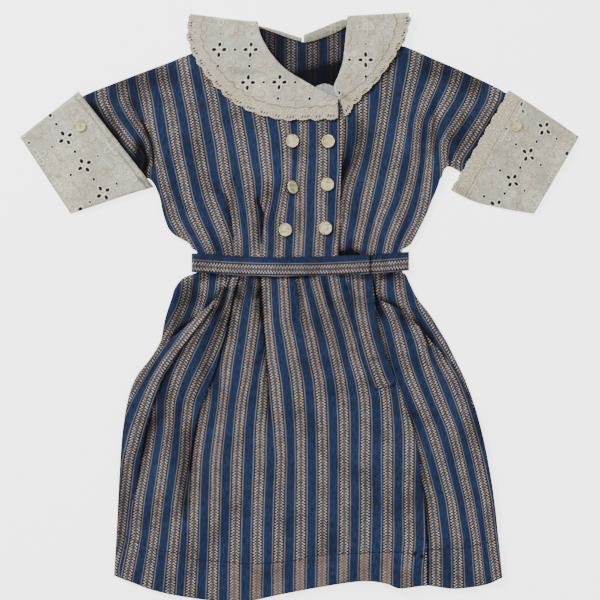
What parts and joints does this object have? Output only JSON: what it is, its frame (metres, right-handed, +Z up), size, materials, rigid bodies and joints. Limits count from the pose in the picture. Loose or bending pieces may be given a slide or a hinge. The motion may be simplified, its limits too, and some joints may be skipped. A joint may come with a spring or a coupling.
{
  "type": "shirt dress",
  "caption": "Child's short-sleeved shirt dress laid flat, striped cotton with an eyelet collar and cuffs, a belt wound round the waist and buttons down the front.",
  "frame": {"origin": "on the surface that the dress lies on, under the middle of its outline", "axes": "+Z up from the surface, +Y from the hem towards the collar, +X to the viewer's right"},
  "size_m": [0.605, 0.6397, 0.0213],
  "materials": {
    "striped_cotton": "soft worn cotton, navy with beige herringbone stripes",
    "eyelet_cotton": "off-white cotton with eyelet embroidery in cream",
    "pearl_button": "cream nacre, low gloss",
    "binding_tape": "pale cotton tape"
  },
  "bodies": {
    "root": {"belt": "striped_cotton", "belt_tab": "striped_cotton", "bodice_back": "striped_cotton", "bodice_front_left": "striped_cotton", "bodice_front_right": "striped_cotton", "skirt_back": "striped_cotton", "skirt_front_left": "striped_cotton", "skirt_front_right": "striped_cotton", "collar_left": "eyelet_cotton", "collar_right": "eyelet_cotton", "cuff_left": "eyelet_cotton", "cuff_right": "eyelet_cotton", "neck_binding": "binding_tape", "button_upper_left": "pearl_button", "button_upper_right": "pearl_button", "button_middle_left": "pearl_button", "button_middle_right": "pearl_button", "button_lower_left": "pearl_button", "button_lower_right": "pearl_button", "cuff_button_left": "pearl_button", "cuff_button_right": "pearl_button"}
  },
  "joints": []
}
